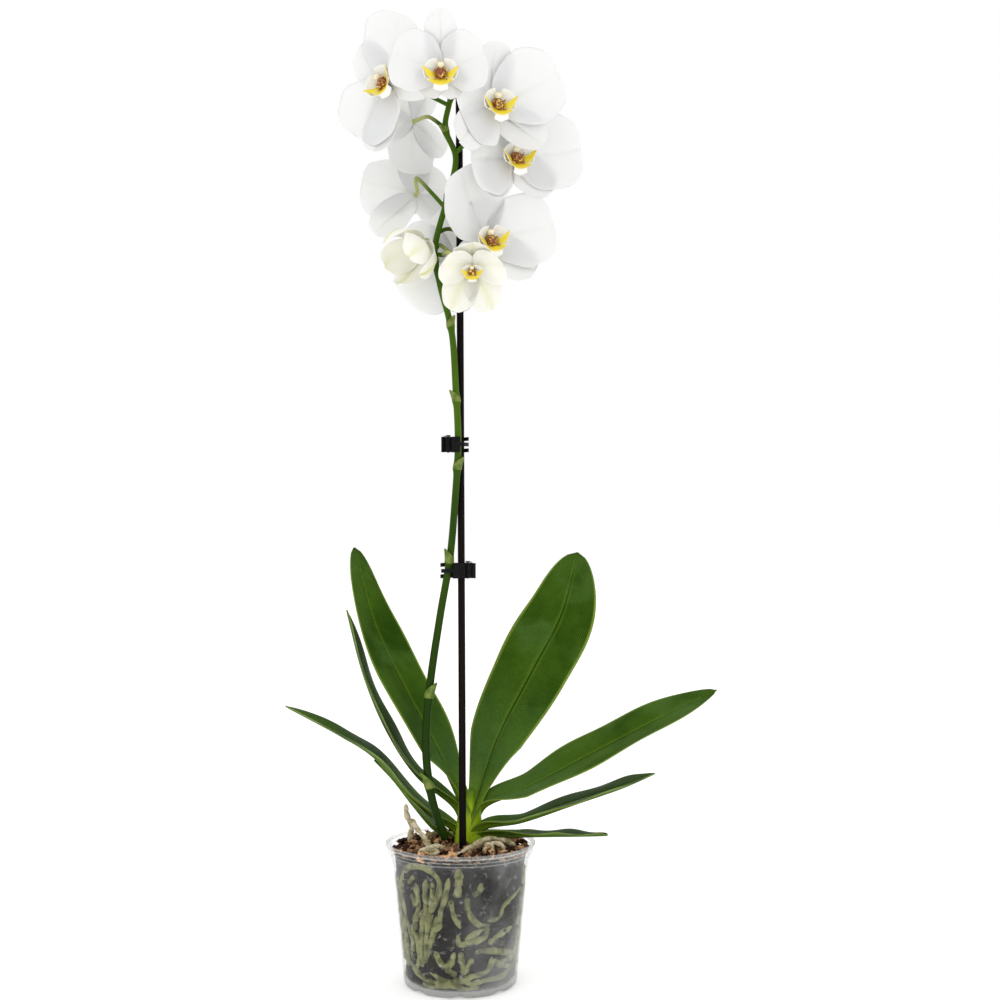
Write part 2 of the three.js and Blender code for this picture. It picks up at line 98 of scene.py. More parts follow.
def flower(at, turn, reach, cup, petals, lengths, stalk, lip=None, state="open"):
    """One flower. turn is (yaw, nod, roll), and its petals and sepals bend round a radius of 1 / cup.

    petals are the right and left petal's angles. lengths are those of the upper sepal, the lower sepals,
    the right petal and the left petal, as shares of the reach. state is open, half open or bud.
    """
    yaw, nod, roll = turn
    return {"at": Vector(at), "yaw": yaw, "nod": nod, "roll": roll, "reach": reach, "cup": cup,
            "petals": petals, "lengths": lengths, "stalk": stalk, "state": state,
            "lip": lip or reach / FULL_REACH}


FLOWERS = {
    "flower_top": flower((-13, -64, 710), (0, 12, 0), 44, 0.012, (22, 160), (1.04, 0.5, 0.84, 0.93),
        [(-8.4, -5, 701), (-9, -20, 713), (-12, -40, 716)], lip=0.98),
    "flower_upper_right": flower((27, -41, 691), (24, 0, 4), 57, 0.01, (24, 200), (0.82, 0.86, 1, 0.56),
        [(-8.4, -5, 701), (-5, -10, 705), (8, -18, 702)]),
    "flower_middle_right": flower((41, -18, 655), (28, 0, 4), 58, 0.01, (6, 184), (0.8, 0.72, 1, 0.74),
        [(-4.2, -5, 661), (6, -9, 668), (26, -6, 664)]),
    "flower_lower_right": flower((21, -8, 592), (28, 0, 10), 57, 0.01, (6, 112), (0.6, 0.82, 1, 1.1),
        [(-18, -5, 598), (-10, 1, 602), (6, 4, 598)]),
    "flower_upper_left": flower((-57, -24, 712), (-34, 4, 38), 57, 0.006, (28, 197), (0.68, 0.95, 0.95, 0.85),
        [(-8.4, -5, 699), (-22, 0, 707), (-38, -6, 713)]),
    "flower_behind_left": flower((-39, 22, 693), (-145, 0, -104), 42, 0.004, (12, 168), (0.9, 0.9, 1, 0.9),
        [(-11.8, -5, 680), (-18, -4, 686), (-26, 2, 692)]),
    "flower_middle_left": flower((-38, 32, 635), (-162, 8, 0), 47, 0.004, (12, 168), (0.9, 1.02, 0.96, 0.66),
        [(-12.4, -5, 618), (-24, 2, 632), (-36, 12, 645)]),
    "flower_lower_left": flower((-7, 6, 580), (-178, 8, -57), 50, 0.004, (12, 168), (0.9, 0.9, 1, 0.9),
        [(-20.5, -5, 583), (-17, -5.5, 588), (-12, -7, 585)]),
    "flower_half_open": flower((10, -45, 564), (2, 34, 0), 34, 0.034, (20, 160), (0.9, 1.1, 0.95, 0.95),
        [(-20.4, -5, 581), (-13.5, -12, 579), (-12.5, -24, 578.5), (-8, -35, 577)], state="half open"),
    "bud": flower((-31, -18, 586), (-42, 38, 10), 39, 0.05, (12, 168), (0.92, 0.92, 0.95, 0.95),
        [(-20.5, -5, 583)], state="bud"),
}
SEPALS = {"angles": (90, 222, 318), "width": 0.6, "layer": -1.1}
HALF_OPEN_SEPALS = {**SEPALS, "angles": (90, 238, 302), "width": 0.95}
PETALS = {"width": 1.14, "layer": 0.3}
BUD_STRETCH = 1.16
CUP_SPREAD = 30
PEDICEL_RUN = 5

SURFACE_ROOTS = {
    "root_aerial_left": [(-43.5, -6, 141), (-42.5, -6, 132), (-39, -5, 123), (-41, -3, 111)],
    "root_front_left": [(-39, -14, 131), (-34, -17, 124), (-27, -21, 116), (-24, -24, 110)],
    "root_front": [(-32, -36, 108), (-26, -33, 111.5), (-18, -29, 112.5), (-12, -26, 110)],
    "root_right": [(2, -31, 109), (12, -26, 113), (22, -18, 116), (34, -10, 113), (44, -6, 108)],
}
ROOT_LIFT = 2

# ---------- curves and sheets ----------


def spline(points):
    """A centripetal Catmull-Rom curve through the points: at(share) is a point of it."""
    p = [Vector(q) for q in points]
    p = [2 * p[0] - p[1], *p, 2 * p[-1] - p[-2]]

    def at(share):
        place = min(max(share, 0), 1) * (len(p) - 3)
        i = min(int(place), len(p) - 4)
        w = place - i
        a, b, c, d = p[i : i + 4]
        da, db, dc = ((q - r).length ** 0.5 for q, r in ((b, a), (c, b), (d, c)))
        tb = ((b - a) / da - (c - a) / (da + db) + (c - b) / db) * db
        tc = ((c - b) / db - (d - b) / (db + dc) + (d - c) / dc) * db
        return b + w * tb + w * w * (3 * (c - b) - 2 * tb - tc) + w**3 * (2 * (b - c) + tb + tc)

    return at


def heading(at, share, step=0.002):
    """The way the curve runs at a share of it."""
    return (at(min(share + step, 1)) - at(max(share - step, 0))).normalized()


def even_shares(at, count, fine=400):
    """Shares of a curve that lie at even distances along it."""
    points = [at(i / fine) for i in range(fine + 1)]
    run = np.cumsum([0] + [(b - a).length for a, b in zip(points, points[1:])])
    return np.interp(np.linspace(0, run[-1], count + 1), run, np.linspace(0, 1, fine + 1)).tolist()


def round_axis(r, z, angle):
    return (r * math.cos(angle), r * math.sin(angle), z)


class Shape:
    """Points, faces and per-point values that become one mesh."""

    def __init__(self):
        self.points, self.faces, self.values = [], [], {}

    def add(self, points, faces, **values):
        start = len(self.points)
        self.points += [tuple(p) for p in points]
        self.faces += [tuple(start + i for i in f) for f in faces]
        for name in set(self.values) | set(values):
            known = self.values.setdefault(name, [0.0] * start)
            known += list(values.get(name, [0.0] * len(points)))
        return self

    def sheet(self, surface, rows, cols, **values):
        """A thin closed sheet: surface(u, v, side) is a point of its front (side 1) or back (-1)."""
        grid = [(i / rows, 2 * j / cols - 1, side)
                for side in (1, -1) for i in range(rows + 1) for j in range(cols + 1)]
        back = (rows + 1) * (cols + 1)

        def spot(i, j):
            return i * (cols + 1) + j

        faces = []
        for i in range(rows):
            for j in range(cols):
                a, b, c, d = spot(i, j), spot(i + 1, j), spot(i + 1, j + 1), spot(i, j + 1)
                faces += [(a, b, c, d), (back + d, back + c, back + b, back + a)]
        rim = [spot(i, 0) for i in range(rows)] + [spot(rows, j) for j in range(cols)]
        rim += [spot(i, cols) for i in range(rows, 0, -1)] + [spot(0, j) for j in range(cols, 0, -1)]
        faces += [(b, a, back + a, back + b) for a, b in zip(rim, rim[1:] + rim[:1])]
        table = {name: [f(u, v, side) for u, v, side in grid] for name, f in values.items()}
        table["along"] = [u for u, _, _ in grid]
        table["across"] = [v for _, v, _ in grid]
        table["front"] = [(side + 1) / 2 for _, _, side in grid]
        return self.add([surface(u, v, side) for u, v, side in grid], faces, **table)

    def tube(self, at, radius, steps, sides, **values):
        """A closed tube along at(share) with radius(share)."""
        shares = even_shares(at, steps)
        up = Vector((0.3, 0.2, 1)).cross(heading(at, 0)).normalized()
        points = []
        for share in shares:
            along = heading(at, share)
            up = (up - along * up.dot(along)).normalized()
            side = along.cross(up)
            r = radius(share)
            for k in range(sides):
                turn = 2 * math.pi * k / sides
                points.append(at(share) + r * (math.cos(turn) * up + math.sin(turn) * side))
        faces = [tuple(range(sides))[::-1], tuple(range(steps * sides, (steps + 1) * sides))]
        for i in range(steps):
            for k in range(sides):
                m = (k + 1) % sides
                a, b = i * sides, (i + 1) * sides
                faces.append((a + k, a + m, b + m, b + k))
        table = {name: [f(s) for s in shares for _ in range(sides)] for name, f in values.items()}
        table["along"] = [s for s in shares for _ in range(sides)]
        return self.add(points, faces, **table)

    def lathe(self, profile, sides, bend):
        """A closed profile of (radius, height) turned about Z. bend(angle, r, z) moves its points."""
        points, faces = [], []
        for k in range(sides):
            angle = 2 * math.pi * k / sides
            points += [round_axis(*bend(angle, r, z), angle) for r, z in profile]
        n = len(profile)
        for k in range(sides):
            m = (k + 1) % sides
            for i in range(n):
                j = (i + 1) % n
                if profile[i][0] or profile[j][0]:
                    faces.append((k * n + i, m * n + i, m * n + j, k * n + j))
        return self.add(points, faces)


def added(name, data):
    """A new object in the scene."""
    thing = bpy.data.objects.new(name, data)
    bpy.context.scene.collection.objects.link(thing)
    return thing


def make(name, shape, material, slot, replaces=(), smooth=True):
    """Turns a shape in millimetres into a piece of the plant and its pot."""
    mesh = bpy.data.meshes.new(name)
    mesh.from_pydata([tuple(c * MM for c in p) for p in shape.points], [], shape.faces)
    for key, numbers in shape.values.items():
        mesh.attributes.new(key, "FLOAT", "POINT").data.foreach_set("value", numbers)
    tidy = bmesh.new()
    tidy.from_mesh(mesh)
    bmesh.ops.remove_doubles(tidy, verts=tidy.verts, dist=1e-7)
    bmesh.ops.recalc_face_normals(tidy, faces=tidy.faces)
    tidy.to_mesh(mesh)
    tidy.free()
    mesh.polygons.foreach_set("use_smooth", [smooth] * len(mesh.polygons))
    mesh.materials.append(material)
    piece = added(name, mesh)
    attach(piece, ROOT)
    if replaces:
        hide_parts(*replaces)


# ---------- materials ----------


class Look:
    """A Principled material with a few short ways to add nodes."""

    def __init__(self, name, **settings):
        self.material = bpy.data.materials.new(name)
        self.material.use_nodes = True
        self.tree = self.material.node_tree
        self.shader = self.tree.nodes["Principled BSDF"]
        for socket, value in settings.items():
            self.shader.inputs[socket.replace("_", " ")].default_value = value

    def node(self, kind, **inputs):
        made = self.tree.nodes.new("ShaderNode" + kind)
        for key, value in inputs.items():
            self.plug(made.inputs[key.replace("_", " ")], value)
        return made

    def plug(self, socket, value):
        if isinstance(value, bpy.types.NodeSocket):
            self.tree.links.new(value, socket)
        else:
            socket.default_value = value

    def value(self, name):
        """A per-point value of the mesh."""
        made = self.tree.nodes.new("ShaderNodeAttribute")
        made.attribute_name = name
        return made.outputs["Fac"]

    def place(self):
        """Where a point is, in metres from the object's origin."""
        return self.tree.nodes.new("ShaderNodeTexCoord").outputs["Object"]

    def noise(self, scale, detail=3, stretch=None, distortion=0):
        made = self.node("TexNoise", Scale=scale, Detail=detail, Distortion=distortion)
        place = self.place()
        if stretch:
            place = self.node("Mapping", Vector=place, Scale=stretch).outputs[0]
        self.plug(made.inputs["Vector"], place)
        return made.outputs["Fac"]

    def ramp(self, factor, stops):
        made = self.node("ValToRGB", Fac=factor)
        elements = made.color_ramp.elements
        while len(elements) < len(stops):
            elements.new(0.5)
        for element, (position, color) in zip(elements, stops):
            element.position = position
            element.color = (*color, 1)
        made.color_ramp.interpolation = "EASE"
        return made.outputs["Color"]

    def mix(self, factor, first, second):
        made = self.tree.nodes.new("ShaderNodeMix")
        made.data_type = "RGBA"
        for socket, value in ((made.inputs[0], factor), (made.inputs[6], first), (made.inputs[7], second)):
            self.plug(socket, (*value, 1) if isinstance(value, tuple) else value)
        return made.outputs[2]

    def math(self, operation, first, second=0.0, clamp=False):
        made = self.tree.nodes.new("ShaderNodeMath")
        made.operation = operation
        made.use_clamp = clamp
        self.plug(made.inputs[0], first)
        self.plug(made.inputs[1], second)
        return made.outputs[0]

    def times(self, first, second):
        return self.math("MULTIPLY", first, second)

    def plus(self, first, second):
        return self.math("ADD", first, second)

    def layer(self, tint, color, where, amount=1.0):
        """The tint, with a colour laid over it as far as where (0 to 1) and amount say."""
        return self.mix(self.times(where, amount), tint, color)

    def band(self, value, low, high):
        """0 at low and beyond it, 1 at high and beyond it, with a smooth step between."""
        made = self.node("MapRange", Value=value, From_Min=low, From_Max=high)
        made.interpolation_type = "SMOOTHSTEP"
        return made.outputs[0]

    def color(self, value):
        self.plug(self.shader.inputs["Base Color"], value)

    def rough(self, value):
        self.plug(self.shader.inputs["Roughness"], value)

    def bump(self, height, distance, strength):
        made = self.node("Bump", Height=height, Distance=distance * MM, Strength=strength)
        self.plug(self.shader.inputs["Normal"], made.outputs[0])
        return self


def petal_look(name, base, vein, green, strength=0.3):
    """White tissue: wavering veins from the claw, faint mottling, and light that passes through."""
    look = Look(name, Roughness=0.42, Subsurface_Weight=0.35, Subsurface_Scale=0.004,
                Subsurface_Radius=(1.0, 0.95, 0.85), Specular_IOR_Level=0.15)
    across, along = look.value("across"), look.value("along")
    rays = look.times(look.plus(across, look.times(look.noise(60, 2), 0.35)), 46)
    thin = look.band(look.math("ABSOLUTE", look.math("SINE", rays)), 0.35, 0.0)
    veins = look.times(thin, look.band(along, 1.0, 0.1))
    stripe = look.band(look.math("ABSOLUTE", across), 0.5, 0.0)
    tint = look.mix(look.noise(90, 4), base, tuple(c * 0.965 for c in base))
    tint = look.layer(tint, vein, veins, strength)
    look.color(look.layer(tint, green, stripe, look.value("green")))
    look.bump(look.plus(look.times(veins, 0.6), look.times(look.noise(900, 2), 0.4)), 0.1, 0.3)
    return look.material


def lip_look():
    """White, yellow where the mesh says so, with red-brown freckles in the throat."""
    look = Look("lip", Roughness=0.4, Subsurface_Weight=0.25, Subsurface_Scale=0.003,
                Subsurface_Radius=(1.0, 0.8, 0.3), Specular_IOR_Level=0.35)
    white = look.mix(look.noise(200, 2), (0.93, 0.92, 0.88), (0.86, 0.85, 0.78))
    gold = look.mix(look.noise(150, 3), (0.86, 0.62, 0.02), (0.93, 0.76, 0.07))
    tint = look.mix(look.value("yellow"), white, gold)
    spots = look.node("TexVoronoi", Scale=620.0, Vector=look.place())
    freckles = look.band(spots.outputs["Distance"], 0.85, 0.55)
    look.color(look.layer(tint, (0.24, 0.06, 0.025), freckles, look.value("speck")))
    look.bump(look.noise(700, 3), 0.2, 0.4)
    return look.material


def leaf_look():
    """Waxy dark green above, paler below, with a midrib, fine parallel veins and a pale rim."""
    look = Look("leaf", Roughness=0.42, Specular_IOR_Level=0.008)
    across, along, front = look.value("across"), look.value("along"), look.value("front")
    aside = look.math("ABSOLUTE", across)
    broad = look.noise(14, 3)
    upper = look.ramp(broad, [(0.3, (0.02, 0.055, 0.003)), (0.7, (0.05, 0.11, 0.008))])
    under = look.ramp(broad, [(0.3, (0.06, 0.115, 0.01)), (0.7, (0.1, 0.17, 0.022))])
    lines = look.math("SINE", look.times(across, 120))
    streaks = look.times(look.band(lines, 0.2, 1.0), look.band(look.noise(60, 4), 0.4, 0.7))
    low_sheen = look.times(look.band(along, 0.6, 0.3), front)
    layers = [
        ((0.2, 0.33, 0.008), look.band(along, 0.34, 0.08), 1.0),  # lime green towards the stalk
        ((0.13, 0.24, 0.07), low_sheen, 0.3),
        ((0.1, 0.19, 0.02), streaks, 0.55),
        ((0.13, 0.22, 0.02), look.band(aside, 0.14, 0.04), 0.35),  # paler beside the midrib
        ((0.008, 0.028, 0.002), look.band(aside, 0.035, 0.01), 0.85),  # painted shade in the midrib's groove
        ((0.24, 0.34, 0.05), look.band(aside, 0.9, 0.99), 0.9),  # the pale rim
        ((0.09, 0.17, 0.035), look.band(look.noise(26, 4, distortion=0.4), 0.5, 0.7), 0.4),  # blotches
        ((0.016, 0.05, 0.004), look.band(look.noise(650, 3), 0.45, 0.7), 0.3),  # pores
    ]
    tint = look.mix(front, under, upper)
    for color, where, amount in layers:
        tint = look.layer(tint, color, where, amount)
    look.color(tint)
    look.rough(look.ramp(look.noise(40, 3), [(0.3, (0.28,) * 3), (0.75, (0.42,) * 3)]))
    look.bump(look.plus(look.times(lines, 0.5), look.times(look.noise(500, 2), 0.6)), 0.12, 0.5)
    return look.material


def stem_look():
    """Green with brown freckles, darker low down and pale towards each flower."""
    look = Look("stem", Roughness=0.38, Specular_IOR_Level=0.07)
    broad = look.noise(30, 3, stretch=(1, 1, 0.25))
    tint = look.ramp(broad, [(0.3, (0.018, 0.05, 0.002)), (0.7, (0.065, 0.14, 0.005))])
    tint = look.layer(tint, (0.05, 0.035, 0.008), look.band(look.noise(900, 3), 0.6, 0.72), 0.35)
    tint = look.layer(tint, (0.012, 0.035, 0.002), look.band(look.value("low"), 0.25, 0.7), 0.95)
    look.color(look.layer(tint, (0.5, 0.52, 0.2), look.value("pale")))
    look.bump(look.noise(160, 3, stretch=(1, 1, 0.12)), 0.2, 0.5)
    return look.material


def bract_look():
    """Dry green-brown paper."""
    look = Look("bract", Roughness=0.5, Specular_IOR_Level=0.2)
    look.color(look.ramp(look.noise(260, 4), [(0.3, (0.06, 0.13, 0.01)), (0.7, (0.2, 0.24, 0.05))]))
    look.bump(look.noise(500, 3), 0.2, 0.6)
    return look.material


def crown_look():
    """Lime green, with lines that run up the sheaths and a darker upper edge."""
    look = Look("crown", Roughness=0.36, Specular_IOR_Level=0.16)
    lines = look.noise(90, 3, stretch=(1, 1, 0.1))
    tint = look.ramp(lines, [(0.3, (0.26, 0.42, 0.005)), (0.75, (0.46, 0.62, 0.015))])
    look.color(look.layer(tint, (0.1, 0.19, 0.008), look.band(look.value("along"), 0.75, 1.0)))
    look.bump(lines, 0.25, 0.4)
    return look.material


def root_look(name, dry, wet, stain, shine=0.7):
    """Velamen: a spongy skin, pale where it is dry and darker where it is damp, with stained rings."""
    look = Look(name, Roughness=shine, Specular_IOR_Level=0.15)
    patches = look.noise(130, 5, distortion=0.6)
    rings = look.noise(420, 4)
    tint = look.ramp(patches, [(0.36, wet), (0.6, dry)])
    look.color(look.layer(tint, stain, look.band(rings, 0.5, 0.7), 0.45))
    look.bump(look.plus(rings, look.times(patches, 2.0)), 0.7, 0.9)
    return look.material


def bark_look(name, dark, light):
    """Fibrous bark: each chip has its own tone between dark and light, and dark gaps in its grain."""
    look = Look(name, Roughness=0.85, Specular_IOR_Level=0.1)
    grain = look.noise(160, 6, stretch=(1, 0.35, 2.5), distortion=0.5)
    middle = tuple((2 * a + b) / 3 for a, b in zip(dark, light))
    each = look.ramp(look.value("tone"), [(0.1, dark), (0.55, middle), (1.0, light)])
    look.color(look.layer(each, dark, look.band(grain, 0.62, 0.35)))
    look.bump(grain, 1.0, 0.9)
    return look.material


def stake_look():
    """Black, with a faint brown grain along its length."""
    look = Look("stake", Roughness=0.45, Specular_IOR_Level=0.05)
    grain = look.noise(120, 4, stretch=(1, 1, 0.05))
    look.color(look.ramp(grain, [(0.3, (0.003, 0.002, 0.002)), (0.75, (0.009, 0.006, 0.005))]))
    look.bump(grain, 0.25, 0.5)
    return look.material


def clip_look():
    """Black moulded plastic, a little uneven in its gloss."""
    look = Look("clip", Roughness=0.3, Specular_IOR_Level=0.1)
    look.color(look.ramp(look.noise(300, 3), [(0.3, (0.003, 0.003, 0.003)), (0.7, (0.007, 0.007, 0.008))]))
    look.rough(look.ramp(look.noise(500, 3), [(0.3, (0.25,) * 3), (0.7, (0.42,) * 3)]))
    look.bump(look.noise(800, 2), 0.05, 0.4)
    return look.material


def wire_look():
    """Dark drawn steel."""
    look = Look("clip_steel", Metallic=0.9, Roughness=0.35)
    look.color(look.ramp(look.noise(500, 3), [(0.3, (0.05, 0.05, 0.055)), (0.7, (0.14, 0.14, 0.15))]))
    look.bump(look.noise(900, 2), 0.04, 0.4)
    return look.material


def pot_look():
    """Thin clear plastic: see-through face on, grey where it turns edge on, with hazy patches, scuffs, and a
    painted sheen down its right side.
    """
    look = Look("clear_pot", Roughness=0.12, IOR=1.46, Specular_IOR_Level=0.2)
    edge = look.node("LayerWeight", Blend=0.3).outputs["Facing"]
    tint = look.ramp(look.noise(25, 3), [(0.3, (0.78, 0.8, 0.78)), (0.7, (0.9, 0.91, 0.9))])
    tint = look.layer(tint, (0.42, 0.43, 0.4), look.band(edge, 0.3, 0.9))
    look.color(look.layer(tint, (0.3, 0.3, 0.27), look.value("foot")))
    # painted sheen: the plastic is made more milky towards its right side, over an even faint mist
    painted_sheen_side = look.band(look.node("SeparateXYZ", Vector=look.place()).outputs[0], -0.01, 0.045)
    mist_and_painted_sheen = look.plus(look.times(painted_sheen_side, 0.12), 0.012)
    haze_and_painted_sheen = look.times(look.band(look.noise(20, 5, distortion=0.3), 0.35, 0.7), mist_and_painted_sheen)
    scuffs = look.times(look.band(look.noise(260, 2), 0.62, 0.72), 0.14)
    alpha = look.times(look.math("POWER", edge, 3.0), 0.75)
    for cover in (haze_and_painted_sheen, scuffs, look.value("thick")):
        alpha = look.plus(alpha, cover)
    look.plug(look.shader.inputs["Alpha"], look.math("ADD", alpha, 0.012, clamp=True))
    look.bump(look.noise(60, 3), 0.12, 0.2)
    return look.material


# ---------- pot, bark and roots ----------


def wall_radius(z):
    share = (z - POT["floor"]) / (SHOULDER - POT["floor"])
    return POT["base"] + share * (POT["top"] - POT["base"])


def cloud(r, z):
    """How milky the plastic is: most at the rolled lip, a little at the ring lines and the foot."""
    below_lip = POT["height"] - z
    if below_lip < 3.2:
        return 0.4 if below_lip > 2.1 else 0.1
    if z > SHOULDER:
        return 0.3 if r > POT["top"] + 2.3 else 0.01
    return 0.3 if z < POT["floor"] else 0.0


def pot():
    """The wall with its rolled lip, collar and foot ring, as one closed profile turned about Z."""
    wall, base, top, rim, height = (POT[k] for k in ("wall", "base", "top", "rim", "height"))
    collar = top + 1.6
    heights = (10, 25, 40, 55, 70, 85)
    outer = [(0.01, 0), (12, 0), (14, 3.8), (base - 8, 3.8), (base - 6, 0.3), (base - 4, 0), (base - 2, 0.3)]
    outer += [(base - 0.6, 1.8), (base, 4)]
    outer += [(wall_radius(z), z) for z in (*heights, 97)]
    outer += [(top, SHOULDER), (top + 1.0, SHOULDER + 0.8), (collar, SHOULDER + 2)]
    for z in (SHOULDER + 3.6, SHOULDER + 6.2):  # the two ring lines
        outer += [(collar + 0.2, z - 0.7), (collar + 0.8, z), (collar + 0.3, z + 0.7)]
    outer += [(collar + 0.6, height - 4), (rim - 2.2, height - 3)]
    roll, turns = 1.5, [math.radians(-90 + 230 * i / 8) for i in range(9)]
    outer += [(rim - roll + roll * math.cos(t), height - roll + roll * math.sin(t)) for t in turns]
    inner = [(collar - 0.6, height - 4), (collar - wall, SHOULDER + 2), (top - wall, SHOULDER)]
    inner += [(wall_radius(z) - wall, z) for z in reversed(heights)]
    inner += [(base - wall, POT["floor"] + 1), (base - wall - 1, POT["floor"]), (0.01, POT["floor"])]

    def notched(angle, r, z):
        """Lifts the foot ring between the feet, for the drainage slots."""
        if z < 4 and r > base - 7:
            z += 1.9 * max(0.0, math.cos(FEET * angle)) ** 3 * (1 - z / 4)
        return r, z

    shape = Shape().lathe(outer + inner, 192, notched)
    shape.values["thick"] = [cloud(math.hypot(x, y), z) for x, y, z in shape.points]
    shape.values["foot"] = [max(0, min(1, (6 - z) / 3)) for _, _, z in shape.points]
    make("pot_clear", shape, pot_look(), "clear_pot", ["pot"])


def chip(rng, centre, size, tone):
    """One splinter of bark: the hull of a few points in a flat slab, turned at random."""
    made = bmesh.new()
    for _ in range(14):
        corner = [rng.choice((-1, 1)) * (0.35 + 0.65 * rng.random()) for _ in range(3)]
        made.verts.new([c * size * share for c, share in zip(corner, (1, 0.45, 0.3))])
    bmesh.ops.convex_hull(made, input=made.verts)
    loose = [v for v in made.verts if not v.link_faces]
    bmesh.ops.delete(made, geom=loose, context="VERTS")
    turn = Euler([rng.uniform(-0.8, 0.8), rng.uniform(-0.8, 0.8), rng.uniform(0, 6.3)]).to_matrix()
    made.verts.index_update()
    points = [turn @ v.co + Vector(centre) for v in made.verts]
    faces = [[v.index for v in f.verts] for f in made.faces]
    made.free()
    return points, faces, [tone] * len(points)


def bark_top(r):
    """Height of the bark's top at a distance from the pot's axis."""
    return BARK_TOP["height"] - BARK_TOP["fall"] * max(0.0, (r - BARK_TOP["flat"]) / BARK_TOP["run"])


def bark():
    """A dark core that fills the pot, loose chips on top and damp chips at the wall."""
    rng = random.Random(7)
    profile = [(0.01, 5.4), (42, 5.4), (43.4, 7), (43, 12)]
    profile += [(wall_radius(z) - 3.5, z) for z in (20, 40, 60, 80, 98)]
    profile += [(52.5, 105), (46, 106.5), (0.01, 107)]

    def rough(angle, r, z):
        bumps = math.sin(9 * angle + z * 0.3) + math.sin(17 * angle - z * 0.5) * 0.7
        return max(0.01, r + 0.35 * bumps), z

    core = Shape().lathe(profile, 96, rough)
    core.values["tone"] = [0.3] * len(core.points)
    dark = bark_look("bark_dark", (0.008, 0.007, 0.007), (0.05, 0.044, 0.04))
    make("bark_core", core, dark, "bark", ["bark_bed"])

    top = Shape()
    for _ in range(640):
        r, angle = 56 * math.sqrt(rng.random()), rng.uniform(0, 2 * math.pi)
        size = rng.uniform(2, 5.6)
        r = min(r, POT["top"] - 0.2 - size * 0.85)
        centre = round_axis(r, bark_top(r) + rng.uniform(-2.5, 2), angle)
        points, faces, tone = chip(rng, centre, size, rng.random())
        top.add(points, faces, tone=tone)
    make("bark_chips", top, bark_look("bark", (0.03, 0.012, 0.006), (0.95, 0.55, 0.28)), "bark", smooth=False)

    wall = Shape()
    for _ in range(420):
        z, angle, size = rng.uniform(11, 96), rng.uniform(0, 2 * math.pi), rng.uniform(2.5, 5)
        centre = round_axis(wall_radius(z) - 4.8, z, angle)
        points, faces, tone = chip(rng, centre, size, rng.random())
        wall.add([limited(p) for p in points], faces, tone=tone)
    damp = bark_look("bark_damp", (0.008, 0.006, 0.006), (0.15, 0.12, 0.095))
    make("bark_wall_chips", wall, damp, "bark", smooth=False)


def limited(point, gap=0.5):
    """The point, moved in where it would pass through the pot's wall or floor."""
    z = max(point[2], POT["floor"] + 1.5)
    reach = wall_radius(max(z, 10)) - POT["wall"] - gap
    r = math.hypot(point[0], point[1])
    share = min(1, reach / r) if r else 1
    return Vector((point[0] * share, point[1] * share, z))


# Roots that show through the front of the wall: radius, then (across, height) as seen from the front.
FRONT_ROOTS = [
    (2.7, [(-44, 93), (-39, 100), (-25, 101), (-15, 93), (-16, 80), (-21, 68), (-24, 48), (-27, 32)]),
    (2.2, [(-44, 97), (-45, 80), (-41, 59), (-36, 41), (-37, 24)]),
    (1.8, [(-35, 93), (-40, 87)]),
    (2.4, [(-8, 96), (-10, 80), (-13, 68), (-15, 56), (-18, 51)]),
    (3.3, [(-1, 103), (-1, 90), (-1, 79)]),
    (2.0, [(-6, 77), (-5, 68), (2, 56)]),
    (2.4, [(6, 80), (8, 68), (15, 58), (24, 56)]),
    (2.2, [(17, 91), (15, 85), (11, 80)]),
    (2.3, [(-25, 93), (-27, 80), (-25, 71), (-31, 61)]),
    (1.5, [(22, 59), (31, 61), (34, 70), (42, 74), (48, 80)]),
    (2.4, [(5, 45), (13, 51), (21, 56), (21, 47), (10, 44), (1, 42), (-1, 51)]),
    (2.6, [(22, 42), (31, 47), (45, 51)]),
    (2.6, [(13, 38), (25, 36), (39, 32)]),
    (2.5, [(-19, 36), (-13, 27), (-7, 27), (-4, 36)]),
    (2.4, [(1, 36), (3, 25), (5, 18)]),
    (2.6, [(-24, 18), (-7, 13), (10, 16), (22, 21), (25, 30)]),
    (2.3, [(24, 28), (34, 21), (42, 16)]),
    (2.5, [(-34, 65), (-34, 48), (-31, 32), (-33, 19)]),
    (2.0, [(-30, 47), (-31, 33)]),
    (2.2, [(-10, 22), (-2, 18)]),
    (1.8, [(-37, 79), (-34, 68)]),
    (2.0, [(11, 32), (7, 25), (4, 19)]),
    (2.6, [(-48, 90), (-49, 70), (-46, 50), (-43, 30), (-40, 16)]),
    (2.4, [(-33, 88), (-32, 72), (-35, 56), (-36, 44)]),
    (2.7, [(-20, 92), (-21, 78), (-28, 58), (-30, 40), (-29, 22)]),
    (2.4, [(-17, 64), (-20, 48), (-24, 34), (-28, 24)]),
    (2.3, [(-44, 60), (-42, 44), (-40, 30), (-38, 18)]),
    (2.4, [(-41, 26), (-30, 14), (-15, 10), (2, 9)]),
    (2.2, [(8, 10), (20, 12), (33, 12), (40, 18)]),
    (2.2, [(-30, 9), (-18, 7), (-6, 9), (6, 7), (18, 9)]),
    (2.0, [(-6, 14), (4, 13), (12, 9)]),
    (2.4, [(26, 34), (36, 30), (45, 27)]),
    (2.2, [(30, 24), (40, 26), (46, 34)]),
]
FRONT_EDGE = 1.3  # the angle from straight in front, past which roots wander by themselves
WANDER = {"from": (60, 97), "to": 12, "points": 14, "turn": 0.35, "change": 0.16, "drop": (2, 13)}


def on_wall(angle, z, radius):
    """The middle of a root that lies against the wall, at an angle from straight in front."""
    reach = wall_radius(z) - POT["wall"] - radius - 0.4
    return (reach * math.sin(angle), -reach * math.cos(angle), max(z, POT["floor"] + radius + 0.6))


